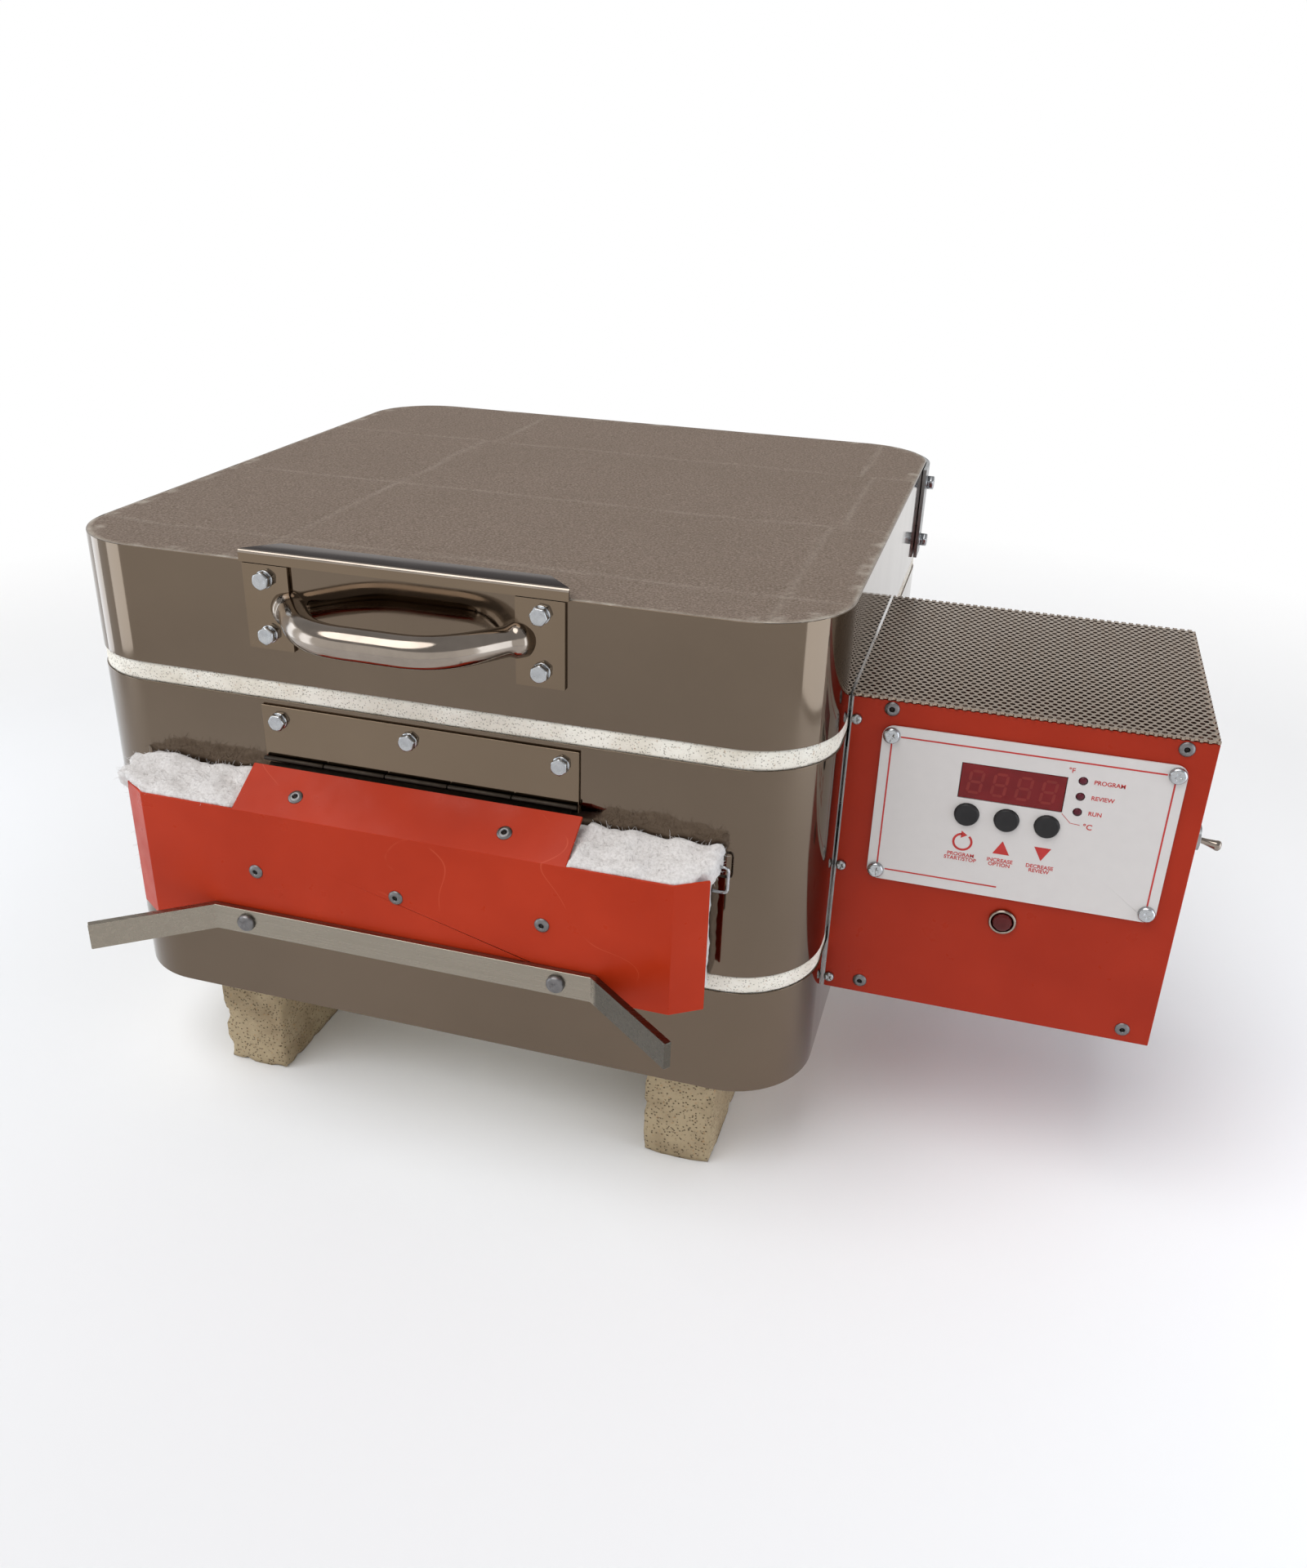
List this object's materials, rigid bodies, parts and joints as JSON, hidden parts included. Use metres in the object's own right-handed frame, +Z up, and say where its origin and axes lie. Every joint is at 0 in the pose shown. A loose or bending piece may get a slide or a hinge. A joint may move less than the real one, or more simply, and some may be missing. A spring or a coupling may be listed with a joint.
{
  "type": "kiln for pottery",
  "caption": "Small electric test kiln with a square firebrick chamber in steel bands, hinged lid, fibre-lined flip-up front door and side control box.",
  "frame": {"origin": "under the middle of the bounding box, on the surface that the feet stand on", "axes": "+Z up, +X to the right of someone who faces the flip door, +Y from the door to the lid hinge"},
  "size_m": [0.5268, 0.4292, 0.2907],
  "materials": {
    "firebrick": "matte",
    "coated_brick": "matte",
    "foot_brick": "matte",
    "polished_steel": "polished",
    "chrome": "polished",
    "zinc": "satin",
    "aluminium": "satin",
    "orange_paint": "gloss",
    "perforated_steel": "satin",
    "ceramic_fibre": "matte",
    "element_wire": "matte",
    "porcelain": "satin",
    "face_plate": "satin",
    "circuit_board": "satin",
    "dark_red_lens": "gloss",
    "black_plastic": "satin"
  },
  "bodies": {
    "kiln": {"floor_slab": "firebrick", "wall_left": "firebrick", "wall_right": "firebrick", "wall_back": "firebrick", "door_lintel": "firebrick", "foot_front_left": "foot_brick", "foot_front_right": "foot_brick", "foot_rear_left": "foot_brick", "foot_rear_right": "foot_brick", "floor_band": "polished_steel", "body_band": "polished_steel", "door_hinge_plate": "polished_steel", "lamp_bezel": "chrome", "door_hinge_pin": "zinc", "lid_hinge_lower_leaf": "zinc", "lid_hinge_pin": "zinc", "box_standoff_front": "zinc", "box_standoff_rear": "zinc", "toggle_body": "zinc", "toggle_nut": "zinc", "box_chassis": "orange_paint", "front_panel": "orange_paint", "back_panel": "orange_paint", "top_cover": "perforated_steel", "heating_element": "element_wire", "terminal_block": "porcelain", "thermocouple": "porcelain", "face_plate": "face_plate", "controller_board": "circuit_board", "display_window": "dark_red_lens", "lamp_lens": "dark_red_lens", "led_program": "dark_red_lens", "led_review": "dark_red_lens", "led_run": "dark_red_lens", "power_relay": "black_plastic", "cable_gland": "black_plastic"},
    "lid": {"lid_slab": "coated_brick", "lid_band": "polished_steel", "lid_guard": "polished_steel", "lid_handle": "chrome", "handle_plate_left": "polished_steel", "handle_plate_right": "polished_steel", "handle_bolt_upper_left": "zinc", "handle_bolt_lower_left": "zinc", "handle_bolt_upper_right": "zinc", "handle_bolt_lower_right": "zinc", "lid_strap_left": "zinc", "lid_strap_right": "zinc", "lid_hinge_upper_leaf": "zinc"},
    "door": {"door_panel": "orange_paint", "door_fibre": "ceramic_fibre", "door_bar": "aluminium", "door_hinge_leaf": "zinc", "bar_screw_left": "zinc", "bar_screw_right": "zinc"},
    "button_start": {"button_start": "black_plastic"},
    "button_increase": {"button_increase": "black_plastic"},
    "button_decrease": {"button_decrease": "black_plastic"},
    "toggle": {"toggle_lever": "chrome"}
  },
  "joints": [
    {"name": "lid_hinge", "type": "hinge", "parent": "kiln", "child": "lid", "pos_m": [-0.08329, 0.21065, 0.2266], "axis": [-1, 0, 0], "range_deg": [0, 95]},
    {"name": "door_hinge", "type": "hinge", "parent": "kiln", "child": "door", "pos_m": [-0.08529, -0.15255, 0.1943], "axis": [-1, 0, 0], "range_deg": [0, 110]},
    {"name": "button_start_press", "type": "slide", "parent": "kiln", "child": "button_start", "axis": [0, 1, 0], "range_m": [0, 0.0008], "stiffness_N_per_m": 400},
    {"name": "button_increase_press", "type": "slide", "parent": "kiln", "child": "button_increase", "axis": [0, 1, 0], "range_m": [0, 0.0008], "stiffness_N_per_m": 400},
    {"name": "button_decrease_press", "type": "slide", "parent": "kiln", "child": "button_decrease", "axis": [0, 1, 0], "range_m": [0, 0.0008], "stiffness_N_per_m": 400},
    {"name": "toggle_tilt", "type": "hinge", "parent": "kiln", "child": "toggle", "pos_m": [0.24821, -0.04645, 0.1736], "axis": [0, -1, 0], "range_deg": [0, 24]}
  ]
}
